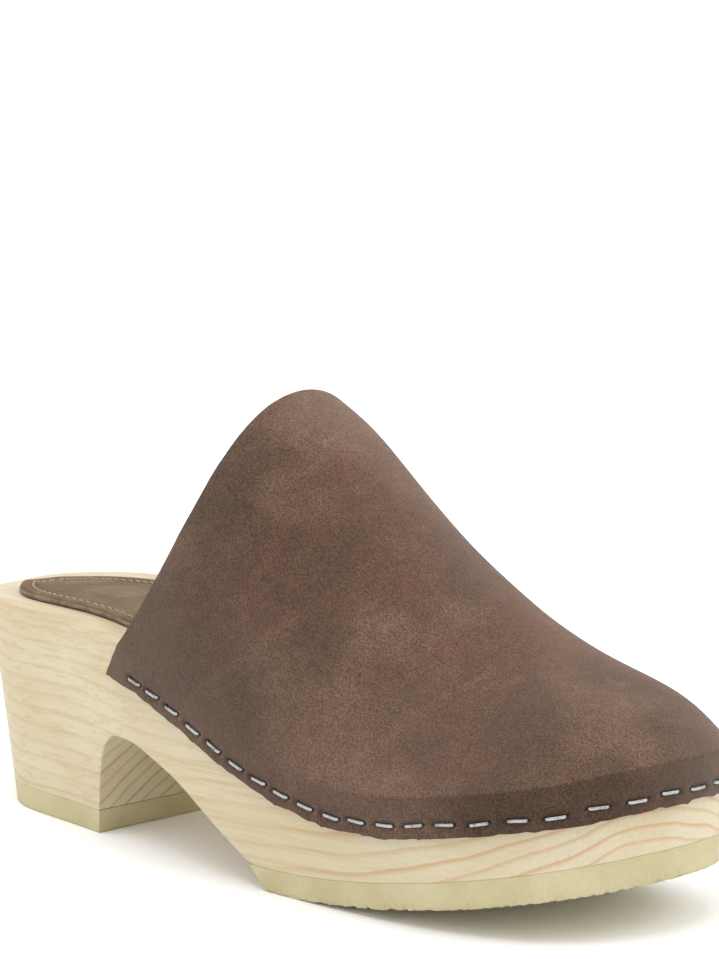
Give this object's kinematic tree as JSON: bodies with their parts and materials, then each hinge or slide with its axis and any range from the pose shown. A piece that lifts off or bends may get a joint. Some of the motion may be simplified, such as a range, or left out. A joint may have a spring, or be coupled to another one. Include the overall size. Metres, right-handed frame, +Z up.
{
  "type": "wooden clog",
  "caption": "Open-backed right-foot clog: one-piece wooden base with block heel, rubber soles, padded insole and a suede upper stapled round the wood.",
  "frame": {"origin": "middle of the bounding box in plan, on the ground that the soles stand on", "axes": "+X from the heel to the toe, +Y to the inner side of the right foot, +Z up"},
  "size_m": [0.248, 0.0882, 0.1222],
  "materials": {
    "wood": "pale fine-grained wood, sanded and waxed",
    "crepe_rubber": "matte cream-yellow crepe rubber",
    "suede": "mottled brown suede",
    "lining": "smooth natural lining leather",
    "stiffener": "fibre-faced stiffener",
    "foam": "soft open foam",
    "insole_suede": "worn brown suede",
    "thread": "twisted beige thread",
    "staple_steel": "bright drawn steel"
  },
  "bodies": {
    "root": {"wood_base": "wood", "forepart_outsole": "crepe_rubber", "heel_toplift": "crepe_rubber", "upper": "suede", "vamp_lining": "lining", "toe_puff": "stiffener", "insole_foam": "foam", "insole_cover": "insole_suede", "insole_stitching": "thread", "staple_01": "staple_steel", "staple_02": "staple_steel", "staple_03": "staple_steel", "staple_04": "staple_steel", "staple_05": "staple_steel", "staple_06": "staple_steel", "staple_07": "staple_steel", "staple_08": "staple_steel", "staple_09": "staple_steel", "staple_10": "staple_steel", "staple_11": "staple_steel", "staple_12": "staple_steel", "staple_13": "staple_steel", "staple_14": "staple_steel", "staple_15": "staple_steel", "staple_16": "staple_steel", "staple_17": "staple_steel", "staple_18": "staple_steel", "staple_19": "staple_steel", "staple_20": "staple_steel", "staple_21": "staple_steel", "staple_22": "staple_steel", "staple_23": "staple_steel", "staple_24": "staple_steel", "staple_25": "staple_steel", "staple_26": "staple_steel", "staple_27": "staple_steel", "staple_28": "staple_steel", "staple_29": "staple_steel", "staple_30": "staple_steel", "staple_31": "staple_steel", "staple_32": "staple_steel", "staple_33": "staple_steel", "staple_34": "staple_steel", "staple_35": "staple_steel", "staple_36": "staple_steel", "staple_37": "staple_steel", "staple_38": "staple_steel", "staple_39": "staple_steel", "staple_40": "staple_steel"}
  },
  "joints": []
}
